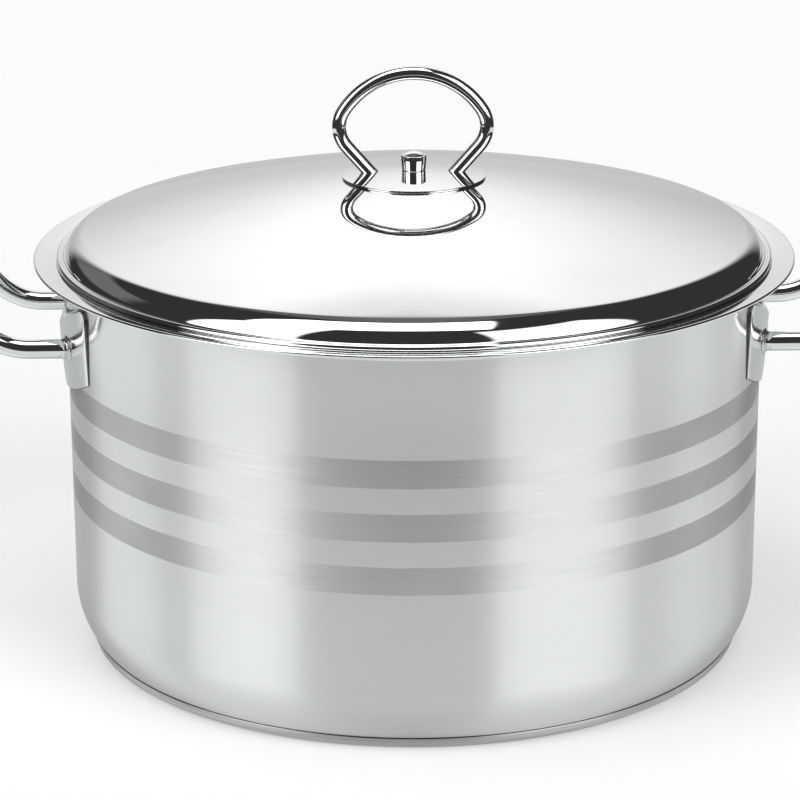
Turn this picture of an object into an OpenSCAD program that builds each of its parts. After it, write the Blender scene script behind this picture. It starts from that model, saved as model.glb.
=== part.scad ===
// Water bath canner: a wide stainless pot with a bonded base, a domed lid and a lift-out jar rack.
// Millimetres. Z is up, the origin is the centre of the base's underside, the side handles are on X.

/* [Pot] */
// Inside diameter of the pot
pot_inner_d = 360; // [340:1:380]
// Sheet thickness of the pot
pot_sheet = 0.8; // [0.6:0.1:1.2]
// Height at which the wall starts to flare into the rim
flare_z = 200.3; // [199.8:0.1:200.8]
// Radius of the rim, to its outermost edge
rim_r = 196.8; // [195:0.1:199]
// Upward slope of the flat part of the rim, degrees
rim_slope = 7; // [3:1:10]
// Radius of the visible curve between the wall and the base
corner_r = 42; // [38:1:46]

/* [Base] */
// Radius of the base cap
base_r = 172.3; // [170:0.1:174]
// Height of the base cap, up to its seam with the pot
base_h = 6; // [5.5:0.1:7]
// Sheet thickness of the base cap
cap_sheet = 0.6; // [0.4:0.1:0.8]

/* [Side handles] */
// Diameter of the handle rod
rod_d = 10; // [8:0.5:11]
// Distance between the two arms of a handle
arm_gap = 90; // [80:1:100]
// Height of the arms where they leave the pot
arm_z = 167.3; // [160:0.1:172]
// Distance from the pot's axis at which the arms turn upward
arm_bend_x = 197; // [195:1:205]
// Angle at which the grip rises, degrees
grip_angle = 50; // [35:1:60]
// Half of the width of a handle bracket
bracket_half_w = 73.6; // [70:0.1:78]
// Sheet thickness of a handle bracket
bracket_sheet = 1.5; // [1:0.1:2]

/* [Lid] */
// Sheet thickness of the lid
lid_sheet = 0.8; // [0.6:0.1:1]
// Height of the lid's highest point above the table
lid_top_z = 247.2; // [240:0.1:255]
// Rise of the crown from the lid's shoulder to its centre
crown_rise = 28.8; // [28:0.1:30]
// Radius at which the crown meets the shoulder
crown_r = 171.4; // [170.8:0.1:172]
// Power of the crown's curve, 2 is a plain bowl and lower is more pointed
crown_power = 1.6; // [1.4:0.1:2.2]
// Outer radius of the lid's shoulder curve
shoulder_r = 14; // [12.5:0.1:14.5]
// Radius of the lid's curled edge
curl_r = 1.4; // [1.2:0.1:1.6]
// Outer radius of the lid, to the edge of the curl
lid_r = 185; // [184.5:0.1:185.5]

/* [Lid knob] */
// Radius of the round plate under the knob
plate_r = 37.4; // [34:0.1:42]
// Diameter of the knob's bent rod
loop_d = 7.2; // [6:0.1:8]
// Height of the loop's highest point above the table
loop_top_z = 301.4; // [298:0.1:306]
// Diameter of the screw that holds the knob
screw_d = 6; // [5:1:6]

/* [Jar rack] */
// Radius of the rack's rings, to the middle of the wire
rack_r = 150; // [148:1:156]
// Diameter of the ring wire
ring_wire_d = 5; // [4.5:0.5:5]
// Diameter of the upright, divider and handle wire
thin_wire_d = 4; // [3.5:0.5:4]
// Diameter of the floor wire
floor_wire_d = 3.5; // [3:0.5:4]
// Number of uprights and of floor wires
spokes = 12; // [12:12:24]
// Number of dividers between the jars
dividers = 6; // [3:3:6]
// Height of the rack's floor ring, to the middle of the wire
rack_low_z = 16; // [14:1:20]
// Height of the rack's top ring, to the middle of the wire
rack_high_z = 80; // [70:1:84]
// Length of a rack handle, from its hinge to its lip
rack_handle_len = 106; // [90:1:108]

/* [Hidden] */

$fn = 64;
wall_ro = pot_inner_d / 2 + pot_sheet;
gap = 0.02;
lap = 0.2;
draw_step = 0.02;

// The flare turns about this centre; its underside has flare_r.
flare_r = 5;
flare_x = wall_ro + flare_r;
rim_bead_r = 0.9;

// The cap's upper edge is bevelled inside, clear of the pot's tight corner.
cap_round_r = 3;
cap_bevel = 2 * cap_sheet;

// The lower corner is one wide arc that ends at the base cap's seam, and a tight one hidden by the cap.
tight_r = 4;
corner_x = wall_ro - corner_r;
corner_z = base_h + sqrt(pow(corner_r, 2) - pow(base_r - corner_x, 2));
seam_angle = atan2(base_h - corner_z, base_r - corner_x);
tight_x = base_r - tight_r * cos(seam_angle);
tight_z = base_h - tight_r * sin(seam_angle);
floor_z = tight_z - tight_r;
floor_in_z = floor_z + pot_sheet;

// A bracket is pressed from a sheet that is more sharply curved than the pot.
bracket_bulge = 4.1;
bracket_top_z = 194;
bracket_low_z = 140;
bracket_side_z = 156;
bracket_apex_z = 182;
bracket_corner_r = 5;
bracket_edge_x = sqrt(pow(wall_ro + bracket_sheet, 2) - pow(bracket_half_w, 2));
bracket_sag = wall_ro + bracket_bulge - bracket_edge_x;
bracket_r = (pow(bracket_half_w, 2) + pow(bracket_sag, 2)) / (2 * bracket_sag);
bracket_axis_x = wall_ro + bracket_bulge - bracket_r;
bracket_face_r = 340;

arm_bend_r = 35;
grip_corner_r = 24;
grip_run = 3;
arm_root = 20;

// The lid's curled edge sits on the pot's flare, with a small hollow between curl and shoulder.
hollow_r = 1;
curl_x = lid_r - curl_r;
curl_z = flare_z + sqrt(pow(flare_r + pot_sheet + curl_r + gap, 2) - pow(flare_x - curl_x, 2));
curl_end_angle = -140;
crown_edge_z = lid_top_z - crown_rise;
crown_edge_slope = atan(crown_power * crown_rise / crown_r);
shoulder_x = crown_r - shoulder_r * sin(crown_edge_slope);
shoulder_z = crown_edge_z - shoulder_r * cos(crown_edge_slope);

// The hollow's centre is as far from the shoulder's and the curl's centres as its arc needs to touch both.
span = norm([curl_x - shoulder_x, curl_z - shoulder_z]);
span_angle = atan2(curl_z - shoulder_z, curl_x - shoulder_x);
hollow_side = shoulder_r + hollow_r;
hollow_angle = span_angle
    + acos((pow(hollow_side, 2) + pow(span, 2) - pow(curl_r + hollow_r, 2)) / (2 * hollow_side * span));
hollow_x = shoulder_x + hollow_side * cos(hollow_angle);
hollow_z = shoulder_z + hollow_side * sin(hollow_angle);
curl_angle = atan2(hollow_z - curl_z, hollow_x - curl_x);

screw_hole_r = screw_d / 2 + 0.3;
plate_sheet = 1.2;
plate_edge = 0.4;
nut_z = crown(screw_hole_r) + gap + plate_sheet + gap;
nut_h = 9.7;
nut_bore_h = 7;
thread_gap = 0.05;
washer_r = 9;
washer_t = 1.2;
washer_top_z = crown(washer_r) - lid_sheet - 3 * gap;

// The loop is a wide top arc, two tighter side arcs and two straight legs that close in.
loop_r = loop_d / 2;
loop_arch_r = 42.4;
loop_side_r = 15.7;
loop_side_x = 22;
loop_join_angle = acos(loop_side_x / (loop_arch_r - loop_side_r));
loop_leg_lean = 41.3;
loop_leg_len = 24;
loop_run = 0.6;

ring_r = ring_wire_d / 2;
thin_r = thin_wire_d / 2;
floor_wire_z = rack_low_z + ring_r + floor_wire_d / 2;
upright_x = rack_r + ring_r + thin_r;
foot_gap = 0.1;
upright_over = 1.5;
foot_tip_z = floor_in_z + foot_gap;
upright_top_z = rack_high_z + ring_r + upright_over;
divider_z = rack_high_z - ring_r - thin_r - 2 * gap;
divider_x = 46;
divider_bend_r = 10;
spoke_start = 20;
spoke_end = rack_r + ring_r - foot_gap;
eye_r = 4.5;
eye_len = 8;
eye_y = 56;
hinge_clearance = 0.05;
hinge_x = sqrt(pow(rack_r, 2) - pow(eye_y, 2));
hinge_z = rack_high_z + ring_r + eye_r;
bail_half = 46;
bail_bend_r = 5;
lip_bend_r = 8;
lip_corner_r = 12;
lip_rise = 26;
pin_over = 2.2;
pin_end_y = eye_y + eye_len / 2 + pin_over;

function arc(cx, cz, r, from, to, n) =
    [for (i = [0:n]) let (a = from + (to - from) * i / n) [cx + r * cos(a), cz + r * sin(a)]];
function crown(r) = lid_top_z - crown_rise * pow(r / crown_r, crown_power);
function crown_slope(r) = atan(crown_power * crown_rise / crown_r * pow(r / crown_r, crown_power - 1));
function crown_point(r, depth) =
    [r - depth * sin(crown_slope(r)), crown(r) - depth * cos(crown_slope(r))];
function crown_points(from, to, depth, n) =
    [for (i = [0:n]) crown_point(from + (to - from) * i / n, depth)];
function reversed(points) = [for (i = [len(points) - 1:-1:0]) points[i]];

// A bent wire is drawn as a path: each piece starts where the last one ended and points along its own Z.
// Straight runs are a hair thicker than the bends and lap into them, as a drawn and bent rod is.
module straight(r, length) {
    translate([0, 0, -lap])
        cylinder(r = r + draw_step, h = length + 2 * lap);
    translate([0, 0, length])
        children();
}

// A bend turns the path towards its own X.
module bend(r, bend_r, angle) {
    translate([bend_r, 0, 0])
        rotate([90, 0, 180])
            rotate_extrude(angle = angle)
                translate([bend_r, 0])
                    circle(r = r);
    translate([bend_r, 0, 0])
        rotate([0, angle, 0])
            translate([-bend_r, 0, 0])
                children();
}

module ring(ring_radius, r, z) {
    translate([0, 0, z])
        rotate_extrude($fn = 96)
            translate([ring_radius, 0])
                circle(r = r);
}

// The pot's outer profile (inset 0) or inner profile (inset pot_sheet), without the rim's bead.
function pot_profile(inset) = concat(
    [[0, floor_z + inset]],
    arc(tight_x, tight_z, tight_r - inset, -90, seam_angle, 6),
    arc(corner_x, corner_z, corner_r - inset, seam_angle, 0, 14),
    arc(flare_x, flare_z, flare_r + inset, 180, 90 + rim_slope, 10)
);

module pot_shell() {
    top_x = flare_x - (flare_r + pot_sheet) * sin(rim_slope);
    top_z = flare_z + (flare_r + pot_sheet) * cos(rim_slope);
    bead_x = rim_r - rim_bead_r;
    bead_z = top_z + (bead_x - top_x) * tan(rim_slope) - rim_bead_r / cos(rim_slope);
    color("lightgray")
        rotate_extrude($fn = 180)
            polygon(concat(
                pot_profile(0),
                arc(bead_x, bead_z, rim_bead_r, -180, 90 + rim_slope, 12),
                reversed(pot_profile(pot_sheet))
            ));
}

module base_core() {
    color("gainsboro")
        translate([0, 0, cap_sheet + gap])
            cylinder(r = tight_x, h = floor_z - cap_sheet - 2 * gap, $fn = 180);
}

module base_cap() {
    round_x = base_r - cap_round_r;
    color("silver")
        rotate_extrude($fn = 180)
            polygon(concat(
                [[0, 0]],
                arc(round_x, cap_round_r, cap_round_r, -90, 0, 6),
                [[base_r, base_h - gap], [base_r - cap_sheet, base_h - cap_bevel]],
                arc(round_x, cap_round_r, cap_round_r - cap_sheet, 0, -90, 6),
                [[0, cap_sheet]]
            ));
}

// The solid behind a bracket's face; inset takes it back by a sheet's thickness.
module bracket_block(inset) {
    steps = 10;
    over = 5;
    high = bracket_top_z + over;
    low = bracket_low_z - over;
    face_x = bracket_r - inset - bracket_face_r;
    translate([bracket_axis_x, 0, 0])
        rotate_extrude($fn = 180)
            polygon(concat(
                [[0, low], [0, high]],
                [for (i = [0:steps]) let (z = high + (low - high) * i / steps)
                    [face_x + sqrt(pow(bracket_face_r, 2) - pow(z - bracket_apex_z, 2)), z]]
            ));
}

// The bracket's outline seen from the side: rounded shoulders and a round lower edge.
module bracket_outline() {
    drop = bracket_side_z - bracket_low_z;
    low_r = (pow(bracket_half_w, 2) + pow(drop, 2)) / (2 * drop);
    half_angle = asin(bracket_half_w / low_r);
    side_y = bracket_half_w - bracket_corner_r;
    side_z = bracket_top_z - bracket_corner_r;
    polygon(concat(
        arc(0, bracket_low_z + low_r, low_r, -90 - half_angle, -90 + half_angle, 16),
        arc(side_y, side_z, bracket_corner_r, 0, 90, 4),
        arc(-side_y, side_z, bracket_corner_r, 90, 180, 4)
    ));
}

module handle_bracket() {
    color("whitesmoke")
        difference() {
            intersection() {
                bracket_block(0);
                rotate([90, 0, 90])
                    linear_extrude(rim_r)
                        bracket_outline();
            }
            bracket_block(bracket_sheet);
            cylinder(r = wall_ro + gap, h = bracket_top_z + pot_sheet, $fn = 180);
        }
}

// A side handle is one rod: arm, upward bend, grip corner, grip, and the same again back to the pot.
module handle_path() {
    r = rod_d / 2;
    start_x = bracket_axis_x + bracket_r - arm_root;
    translate([start_x, arm_gap / 2, arm_z])
        rotate([0, 90, 0])
            rotate([0, 0, 180])
                straight(r, arm_bend_x - start_x)
                    bend(r, arm_bend_r, grip_angle)
                        straight(r, grip_run)
                            rotate([0, 0, 90])
                                bend(r, grip_corner_r, 90)
                                    straight(r, arm_gap - 2 * grip_corner_r)
                                        bend(r, grip_corner_r, 90)
                                            straight(r, grip_run)
                                                rotate([0, 0, -90])
                                                    bend(r, arm_bend_r, grip_angle)
                                                        straight(r, arm_bend_x - start_x);
}

module handle_rod() {
    color("white")
        difference() {
            handle_path();
            bracket_block(-gap);
        }
}

module left_handle_bracket() {
    mirror([1, 0, 0]) handle_bracket();
}

module right_handle_bracket() {
    handle_bracket();
}

module left_handle_rod() {
    mirror([1, 0, 0]) handle_rod();
}

module right_handle_rod() {
    handle_rod();
}

// The lid's outer profile (inset 0) or its underside (inset lid_sheet), from the centre hole to the curl.
function lid_profile(inset) = concat(
    crown_points(screw_hole_r, crown_r, inset, 26),
    arc(shoulder_x, shoulder_z, shoulder_r - inset, 90 - crown_edge_slope, hollow_angle, 10),
    arc(hollow_x, hollow_z, hollow_r + inset, 180 + hollow_angle, 180 + curl_angle, 6),
    arc(curl_x, curl_z, curl_r - inset, curl_angle, curl_end_angle, 16)
);

module lid_shell() {
    color("white")
        rotate_extrude($fn = 180)
            polygon(concat(lid_profile(0), reversed(lid_profile(lid_sheet))));
}

// Height of the knob plate's upper face.
function plate_top(r) = crown(r) + gap + plate_sheet;

module knob_plate() {
    steps = 10;
    color("white")
        rotate_extrude($fn = 96)
            polygon(concat(
                [for (i = [0:steps]) let (r = screw_hole_r + (plate_r - screw_hole_r) * i / steps)
                    [r, crown(r) + gap]],
                [[plate_r, plate_top(plate_r) - plate_edge]],
                [[plate_r - plate_edge, plate_top(plate_r - plate_edge)]],
                [for (i = [steps - 1:-1:0]) let (r = screw_hole_r + (plate_r - screw_hole_r) * i / steps)
                    [r, plate_top(r)]]
            ));
}

// The knob's loop is one rod: leg, side arc, top arc, side arc and leg, joined by short straight runs.
module loop_path() {
    top_turn = 180 - 2 * loop_join_angle;
    side_turn = loop_join_angle + loop_leg_lean;
    side_z = loop_top_z - loop_r - loop_arch_r + (loop_arch_r - loop_side_r) * sin(loop_join_angle);
    leg_end_x = loop_side_x + loop_side_r * cos(loop_leg_lean) - loop_leg_len * sin(loop_leg_lean);
    leg_end_z = side_z - loop_side_r * sin(loop_leg_lean) - loop_leg_len * cos(loop_leg_lean);
    translate([leg_end_x, 0, leg_end_z])
        rotate([0, loop_leg_lean, 0])
            rotate([0, 0, 180])
                straight(loop_r, loop_leg_len)
                    bend(loop_r, loop_side_r, side_turn)
                        straight(loop_r, loop_run)
                            bend(loop_r, loop_arch_r, top_turn)
                                straight(loop_r, loop_run)
                                    bend(loop_r, loop_side_r, side_turn)
                                        straight(loop_r, loop_leg_len);
}

module knob_loop() {
    steps = 10;
    color("white")
        difference() {
            loop_path();
            rotate_extrude($fn = 96)
                polygon(concat(
                    [[0, crown_edge_z], [0, plate_top(0) + gap]],
                    [for (i = [1:steps]) let (r = plate_r * i / steps) [r, plate_top(r) + gap]],
                    [[plate_r, crown_edge_z]]
                ));
        }
}

module knob_cap_nut() {
    foot = 6.2;
    body = 6.7;
    dome_h = 2.2;
    dome_r = (pow(body, 2) + pow(dome_h, 2)) / (2 * dome_h);
    bore_r = screw_d / 2 + thread_gap;
    color("white")
        rotate_extrude()
            polygon(concat(
                [[bore_r, nut_z], [foot, nut_z], [body, nut_z + nut_h - dome_h]],
                arc(0, nut_z + nut_h - dome_r, dome_r, acos(body / dome_r), 90, 8),
                [[0, nut_z + nut_bore_h], [bore_r, nut_z + nut_bore_h]]
            ));
}

module knob_washer() {
    color("lightgray")
        translate([0, 0, washer_top_z - washer_t])
            difference() {
                cylinder(r = washer_r, h = washer_t);
                translate([0, 0, -1])
                    cylinder(r = screw_hole_r, h = washer_t + 2);
            }
}

module knob_screw() {
    head_r = 5.25;
    head_h = 3.4;
    head_taper = 1.2;
    socket_r = 2.3;
    socket_h = 2;
    tip_gap = 0.5;
    head_top_z = washer_top_z - washer_t - gap;
    head_low_z = head_top_z - head_h;
    color("lightgray")
        difference() {
            union() {
                translate([0, 0, head_low_z])
                    cylinder(r1 = head_r - head_taper, r2 = head_r, h = head_h);
                translate([0, 0, head_top_z])
                    cylinder(r = screw_d / 2, h = nut_z + nut_bore_h - tip_gap - head_top_z);
            }
            translate([0, 0, head_low_z - socket_h])
                cylinder(r = socket_r, h = 2 * socket_h, $fn = 6);
        }
}

module rack_top_ring() {
    color("lightsteelblue")
        ring(rack_r, ring_r, rack_high_z);
}

module rack_low_ring() {
    color("lightsteelblue")
        ring(rack_r, ring_r, rack_low_z);
}

// Two smaller rings carry the middle of the floor.
module rack_inner_rings() {
    color("lightsteelblue")
        for (k = [1, 2])
            ring(rack_r * k / 3, ring_r, rack_low_z);
}

module rack_floor_wires() {
    color("lightsteelblue")
        for (k = [0:spokes - 1])
            rotate([0, 0, k * 360 / spokes])
                translate([spoke_start, 0, floor_wire_z])
                    rotate([0, 90, 0])
                        cylinder(r = floor_wire_d / 2, h = spoke_end - spoke_start);
}

// The uprights stand on the pot's floor with rounded feet.
module rack_uprights() {
    color("lightsteelblue")
        for (k = [0:spokes - 1])
            rotate([0, 0, k * 360 / spokes])
                translate([upright_x, 0, 0])
                    rotate_extrude($fn = 32)
                        polygon(concat(
                            arc(0, foot_tip_z + thin_r, thin_r, -90, 0, 6),
                            arc(0, upright_top_z - thin_r, thin_r, 0, 90, 6)
                        ));
}

// A divider runs in from the top ring and bends down to the floor.
module rack_dividers() {
    foot_z = floor_wire_z + floor_wire_d / 2 + lap + gap;
    start_x = spoke_end - lap;
    color("lightsteelblue")
        for (k = [0:dividers - 1])
            rotate([0, 0, k * 360 / dividers])
                translate([start_x, 0, divider_z])
                    rotate([0, -90, 0])
                        rotate([0, 0, 180])
                            straight(thin_r, start_x - divider_x - divider_bend_r)
                                bend(thin_r, divider_bend_r, 90)
                                    straight(thin_r, divider_z - divider_bend_r - foot_z);
}

module rack_hub_ring() {
    color("lightsteelblue")
        ring(divider_x - 2 * thin_r - 2 * gap, thin_r, (rack_low_z + rack_high_z) / 2);
}

module hinge_eyes() {
    color("silver")
        for (s = [-1, 1])
            translate([hinge_x, s * eye_y + eye_len / 2, hinge_z + gap])
                rotate([90, 0, 0])
                    difference() {
                        cylinder(r = eye_r, h = eye_len);
                        translate([0, 0, -1])
                            cylinder(r = thin_r + draw_step + hinge_clearance, h = eye_len + 2);
                    }
}

// A rack handle is one wire: hinge pin, side, lip, and the same again back to the other pin.
module rack_handle_path() {
    pin = pin_end_y - bail_half - bail_bend_r;
    side = rack_handle_len - bail_bend_r - lip_bend_r;
    rise = lip_rise - lip_bend_r - lip_corner_r;
    straight(thin_r, pin)
        bend(thin_r, bail_bend_r, 90)
            straight(thin_r, side)
                rotate([0, 0, -90])
                    bend(thin_r, lip_bend_r, 90)
                        straight(thin_r, rise)
                            rotate([0, 0, -90])
                                bend(thin_r, lip_corner_r, 90)
                                    straight(thin_r, 2 * (bail_half - lip_corner_r))
                                        bend(thin_r, lip_corner_r, 90)
                                            straight(thin_r, rise)
                                                rotate([0, 0, 90])
                                                    bend(thin_r, lip_bend_r, 90)
                                                        straight(thin_r, side)
                                                            rotate([0, 0, 90])
                                                                bend(thin_r, bail_bend_r, 90)
                                                                    straight(thin_r, pin);
}

// A rack handle folded flat towards the middle, with its lip standing up.
module rack_handle() {
    color("steelblue")
        translate([hinge_x, pin_end_y, hinge_z + gap])
            rotate([90, 0, 0])
                rotate([0, 0, 180])
                    rack_handle_path();
}

module rack_left_hinge_eyes() {
    mirror([1, 0, 0]) hinge_eyes();
}

module rack_right_hinge_eyes() {
    hinge_eyes();
}

module rack_left_handle() {
    mirror([1, 0, 0]) rack_handle();
}

module rack_right_handle() {
    rack_handle();
}

pot_shell();
base_core();
base_cap();
left_handle_bracket();
right_handle_bracket();
left_handle_rod();
right_handle_rod();
lid_shell();
knob_plate();
knob_loop();
knob_cap_nut();
knob_screw();
knob_washer();
rack_top_ring();
rack_low_ring();
rack_inner_rings();
rack_floor_wires();
rack_uprights();
rack_dividers();
rack_hub_ring();
rack_left_hinge_eyes();
rack_right_hinge_eyes();
rack_left_handle();
rack_right_handle();
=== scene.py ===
import math
from functools import reduce

import bpy
import numpy as np
from mathutils import Matrix, Vector


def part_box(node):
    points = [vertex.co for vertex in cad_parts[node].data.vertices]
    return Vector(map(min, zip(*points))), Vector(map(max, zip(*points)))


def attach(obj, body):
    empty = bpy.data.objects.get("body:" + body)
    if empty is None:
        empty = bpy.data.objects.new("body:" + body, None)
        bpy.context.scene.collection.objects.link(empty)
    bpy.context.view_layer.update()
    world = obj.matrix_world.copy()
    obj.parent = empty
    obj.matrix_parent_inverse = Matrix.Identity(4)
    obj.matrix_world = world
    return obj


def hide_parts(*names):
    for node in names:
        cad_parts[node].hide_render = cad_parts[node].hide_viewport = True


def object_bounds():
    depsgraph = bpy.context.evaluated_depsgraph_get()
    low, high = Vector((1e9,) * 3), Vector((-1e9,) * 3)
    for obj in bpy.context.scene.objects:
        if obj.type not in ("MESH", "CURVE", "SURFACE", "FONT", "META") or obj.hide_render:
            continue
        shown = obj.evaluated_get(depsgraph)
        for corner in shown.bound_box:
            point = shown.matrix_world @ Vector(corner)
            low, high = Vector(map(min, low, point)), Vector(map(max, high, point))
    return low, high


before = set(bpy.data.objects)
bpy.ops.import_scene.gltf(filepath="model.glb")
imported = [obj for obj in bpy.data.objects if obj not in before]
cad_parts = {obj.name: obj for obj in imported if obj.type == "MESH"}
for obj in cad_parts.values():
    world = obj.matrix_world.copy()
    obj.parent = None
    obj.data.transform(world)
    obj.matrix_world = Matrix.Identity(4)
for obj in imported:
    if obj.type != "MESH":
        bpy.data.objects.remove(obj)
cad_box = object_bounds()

MM = 0.001

# ---------------------------------------------------------------- named sizes

# Pot: sheet, rolled rim and the curve between the wall and the base.
POT_SHEET = 0.8 * MM
FLARE_R = 5 * MM
RIM_SLOPE = math.radians(7)
RIM_BEAD_R = 0.9 * MM
CORNER_R = 42 * MM
TIGHT_R = 4 * MM
SEAM_GAP = 0.7 * MM
CAP_SHEET = 0.6 * MM
CAP_EDGE_R = 0.25 * MM
CAP_ROUND_R = 3 * MM

# Matte bands on the wall: middle of the middle band, their pitch and their height.
BAND_MIDDLE_Z = 117.3 * MM
BAND_PITCH = 26.9 * MM
BAND_HEIGHT = 14.0 * MM
BAND_SOFT = 0.25 * MM

# Lid: pressed crown, shoulder, small hollow and curled edge.
LID_SHEET = 0.8 * MM
CROWN_RISE = 28.8 * MM
CROWN_R = 171.4 * MM
CROWN_POWER = 1.6
SHOULDER_R = 14 * MM
HOLLOW_R = 1.0 * MM
CURL_R = 1.4 * MM
CURL_END = math.radians(-140)
HOLE_R = 3.3 * MM

# Side handles and their brackets.
ROD_R = 5 * MM
ARM_BEND_R = 35 * MM
GRIP_ANGLE = 50
GRIP_CORNER_R = 24 * MM
GRIP_RUN = 3 * MM
BRACKET_SHEET = 1.5 * MM
BRACKET_SIDE_RISE = 16 * MM
BRACKET_CORNER_R = 5 * MM
BRACKET_BULGE = 4.1 * MM
BRACKET_FACE_R = 340 * MM
BRACKET_APEX_DROP = 12 * MM
BRACKET_EDGE_R = 0.35 * MM
BRACKET_GAP = 0.05 * MM
ARM_SINK = 2 * MM
SPOT_WELD_Y = 67 * MM
SPOT_WELD_Z = 160 * MM
SPOT_WELD_R = 1.6 * MM
WELD_SINK = 0.1 * MM

# Knob: loop, plate and cap nut.
LOOP_R = 3.6 * MM
LOOP_ARCH_R = 42.4 * MM
LOOP_SIDE_R = 15.7 * MM
LOOP_SIDE_X = 22 * MM
LOOP_LEAN = 41.3
LOOP_LEG = 24 * MM
LOOP_RUN = 0.6 * MM
PLATE_SHEET = 1.2 * MM
PLATE_EDGE_R = 0.3 * MM
SCREW_R = 3.05 * MM
NUT_BORE_H = 7 * MM
NUT_DOME_H = 2.2 * MM
NUT_EDGE_R = 0.4 * MM
NUT_FLARE = 0.5 * MM

# Rack: counts, wire and bends.
SPOKES = 12
DIVIDERS = 6
WIRE_R = 2 * MM
SPOKE_START = 20 * MM
DIVIDER_BEND_R = 10 * MM
BAIL_HALF = 46 * MM
BAIL_BEND_R = 5 * MM
LIP_BEND_R = 8 * MM
LIP_CORNER_R = 12 * MM

# How finely the meshes are cut, and how near two points count as one.
SMOOTH_STEPS = 24
TIGHT_STEPS = 10
LATHE_STEPS = 288
LID_STEPS = 360
PLATE_STEPS = 192
NUT_STEPS = 96
RUN_PIECE = 6 * MM
BEND_PIECE = 4
SAME_POINT = 1e-7
NEARLY_UPRIGHT = 1e-3
WIRE_TIP = 0.02


# ------------------------------------------------------------- mesh building

def build(name, vertices, faces, body, materials, slots=None, stands_for=()):
    """A smooth shaded mesh object with its materials, which rides on a CAD body."""
    mesh = bpy.data.meshes.new(name)
    mesh.from_pydata([tuple(v) for v in vertices], [], faces)
    for material in materials:
        mesh.materials.append(material)
    if slots is not None:
        mesh.polygons.foreach_set("material_index", slots)
    mesh.polygons.foreach_set("use_smooth", [True] * len(mesh.polygons))
    mesh.update()
    piece = bpy.data.objects.new(name, mesh)
    bpy.context.scene.collection.objects.link(piece)
    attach(piece, body)
    if stands_for:
        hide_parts(*stands_for)
    return piece


def arc(cx, cz, r, start, end, n=SMOOTH_STEPS):
    """Points of an arc from one angle to another, in radians."""
    return [(cx + r * math.cos(a), cz + r * math.sin(a)) for a in np.linspace(start, end, n + 1)]


def lathe(sections, steps=LATHE_STEPS):
    """Turns a closed outline about Z. Each section is (points, material number)."""
    outline, marks = [], []
    for points, mark in sections:
        for p in points:
            if outline and math.dist(outline[-1], p) < SAME_POINT:
                continue
            outline.append(p)
            marks.append(mark)
    if math.dist(outline[0], outline[-1]) < SAME_POINT:
        outline.pop()
        marks.pop()
    vertices, rings = [], []
    for r, z in outline:
        if r < SAME_POINT:
            rings.append([len(vertices)])
            vertices.append((0, 0, z))
            continue
        rings.append(range(len(vertices), len(vertices) + steps))
        for k in range(steps):
            a = 2 * math.pi * k / steps
            vertices.append((r * math.cos(a), r * math.sin(a), z))
    faces, slots = [], []
    count = len(rings)
    for i in range(count):
        here, there = rings[i], rings[(i + 1) % count]
        if len(here) == 1 and len(there) == 1:
            continue
        for k in range(steps):
            n = (k + 1) % steps
            if len(here) == 1:
                faces.append((here[0], there[n], there[k]))
            elif len(there) == 1:
                faces.append((here[k], here[n], there[0]))
            else:
                faces.append((here[k], here[n], there[n], there[k]))
            slots.append(marks[(i + 1) % count])
    return vertices, faces, slots


def tube(points, radius, closed=False, sides=32, rounded=False):
    """Sweeps a circle along a line of points without twisting it; rounded gives domed ends."""
    points = np.array(points, float)
    count = len(points)
    radii = np.full(count, radius)
    if rounded:
        turn = np.linspace(0, math.pi / 2, 6)[:-1]
        first = points[1] - points[0]
        last = points[-1] - points[-2]
        first, last = first / np.linalg.norm(first), last / np.linalg.norm(last)
        # The rounded ends are cut out of the wire's own length.
        head = points[0] + np.outer(radius * (1 - np.cos(turn)), first)
        tail = points[-1] - np.outer(radius * (1 - np.cos(turn)), last)
        body = points.copy()
        body[0] = points[0] + first * radius
        body[-1] = points[-1] - last * radius
        ends = radius * np.maximum(np.sin(turn), WIRE_TIP)
        points = np.concatenate([head, body, tail[::-1]])
        radii = np.concatenate([ends, radii, ends[::-1]])
        count = len(points)
    if closed:
        tangents = np.roll(points, -1, 0) - np.roll(points, 1, 0)
    else:
        tangents = np.gradient(points, axis=0)
    tangents /= np.linalg.norm(tangents, axis=1)[:, None]
    side = np.cross(tangents[0], (0.0, 0.0, 1.0))
    if np.linalg.norm(side) < NEARLY_UPRIGHT:
        side = np.cross(tangents[0], (0.0, 1.0, 0.0))
    side /= np.linalg.norm(side)
    vertices = []
    for i in range(count):
        side = side - tangents[i] * np.dot(side, tangents[i])
        side /= np.linalg.norm(side)
        up = np.cross(tangents[i], side)
        for k in range(sides):
            a = 2 * math.pi * k / sides
            vertices.append(points[i] + radii[i] * (side * math.cos(a) + up * math.sin(a)))
    faces = []
    for i in range(count if closed else count - 1):
        n = (i + 1) % count
        for k in range(sides):
            m = (k + 1) % sides
            faces.append((i * sides + k, i * sides + m, n * sides + m, n * sides + k))
    if not closed:
        faces.append(tuple(range(sides))[::-1])
        faces.append(tuple(range((count - 1) * sides, count * sides)))
    return vertices, faces


def joined(parts):
    """Several meshes as one list of vertices and one of faces."""
    vertices, faces = [], []
    for more_vertices, more_faces in parts:
        shift = len(vertices)
        vertices.extend(more_vertices)
        faces.extend(tuple(i + shift for i in face) for face in more_faces)
    return vertices, faces


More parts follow.
